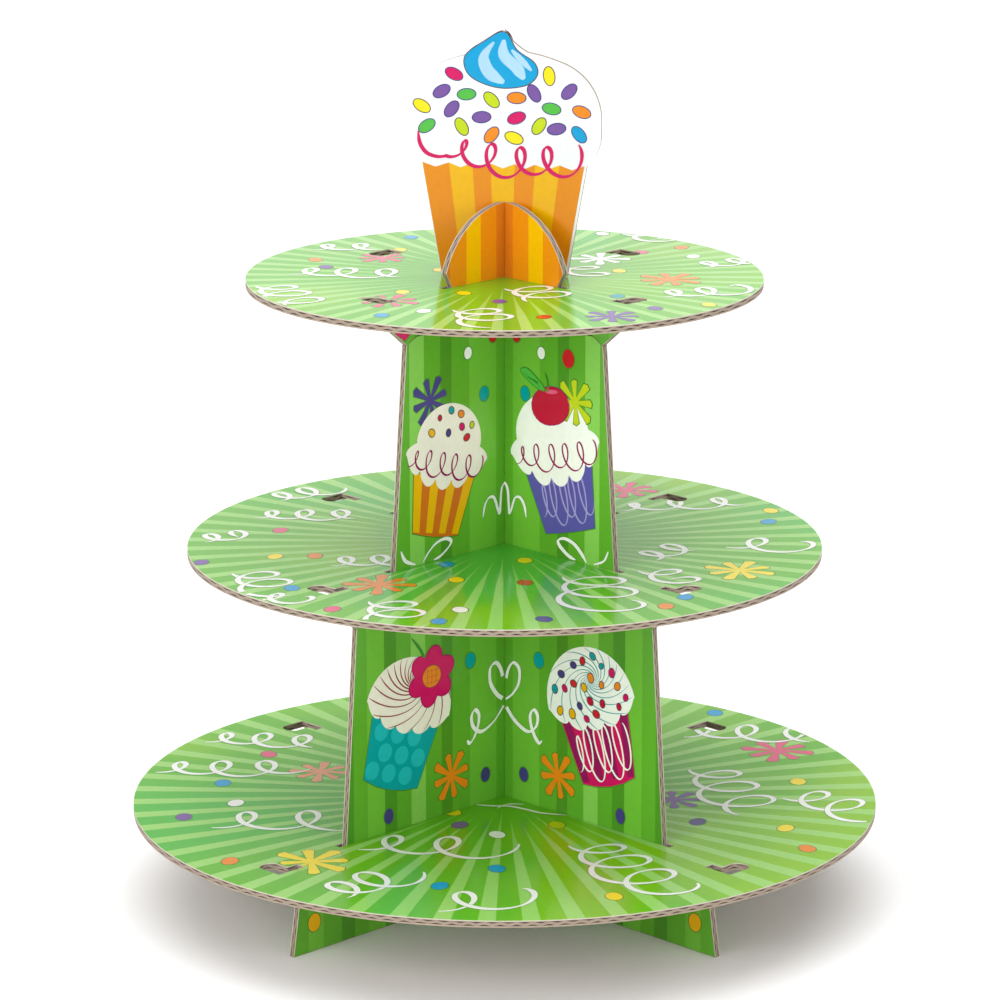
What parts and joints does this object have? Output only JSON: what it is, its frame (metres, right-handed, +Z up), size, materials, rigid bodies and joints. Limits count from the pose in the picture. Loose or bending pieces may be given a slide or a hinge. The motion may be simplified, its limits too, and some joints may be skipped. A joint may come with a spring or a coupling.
{
  "type": "tiered cake stand",
  "caption": "Knock-down printed cardboard cake stand: round tiers of falling size on crossed upright panels, with a cupcake-shaped picture panel on top",
  "frame": {"origin": "on the floor under the middle of the stand, where the crossed lower panels meet", "axes": "+Z is up along the middle line of the tiers, +X is to the right and -Y is the front, facing the open corner between two panels; the upright panels stand along the diagonals of X and Y"},
  "size_m": [0.3048, 0.3048, 0.3562],
  "materials": {
    "corrugated_core": "raw kraft corrugated board, flutes open on the cut edges",
    "plain_liner": "matt kraft liner",
    "tier_print": "gloss-varnished print: green and pale green rays with dots, stars and white loops",
    "panel_print": "gloss-varnished print: green stripes with cupcakes, dots and white loops",
    "support_print": "gloss-varnished print: orange and yellow stripes, green stripes on the feet",
    "cupcake_print": "gloss-varnished print: white frosting with sprinkles over a striped wrapper"
  },
  "bodies": {
    "base": {"bottom_tier_underside_liner": "plain_liner", "bottom_tier_core": "corrugated_core", "bottom_tier_printed_sheet": "tier_print", "lower_panel_right_back_sheet": "panel_print", "lower_panel_right_core": "corrugated_core", "lower_panel_right_front_sheet": "panel_print", "lower_panel_left_back_sheet": "panel_print", "lower_panel_left_core": "corrugated_core", "lower_panel_left_front_sheet": "panel_print"},
    "middle_level": {"middle_tier_underside_liner": "plain_liner", "middle_tier_core": "corrugated_core", "middle_tier_printed_sheet": "tier_print", "upper_panel_right_back_sheet": "panel_print", "upper_panel_right_core": "corrugated_core", "upper_panel_right_front_sheet": "panel_print", "upper_panel_left_back_sheet": "panel_print", "upper_panel_left_core": "corrugated_core", "upper_panel_left_front_sheet": "panel_print"},
    "top_level": {"top_tier_underside_liner": "plain_liner", "top_tier_core": "corrugated_core", "top_tier_printed_sheet": "tier_print", "topper_support_right_back_sheet": "support_print", "topper_support_right_core": "corrugated_core", "topper_support_right_front_sheet": "support_print", "topper_support_left_back_sheet": "support_print", "topper_support_left_core": "corrugated_core", "topper_support_left_front_sheet": "support_print"},
    "topper": {"cupcake_topper_back_sheet": "cupcake_print", "cupcake_topper_core": "corrugated_core", "cupcake_topper_front_sheet": "cupcake_print"}
  },
  "joints": [
    {"name": "middle_tier_lift", "type": "slide", "parent": "base", "child": "middle_level", "axis": [0, 0, 1], "range_m": [0, 0.03]},
    {"name": "top_tier_lift", "type": "slide", "parent": "middle_level", "child": "top_level", "axis": [0, 0, 1], "range_m": [0, 0.03]},
    {"name": "topper_lift", "type": "slide", "parent": "top_level", "child": "topper", "axis": [0, 0, 1], "range_m": [0, 0.045]}
  ]
}
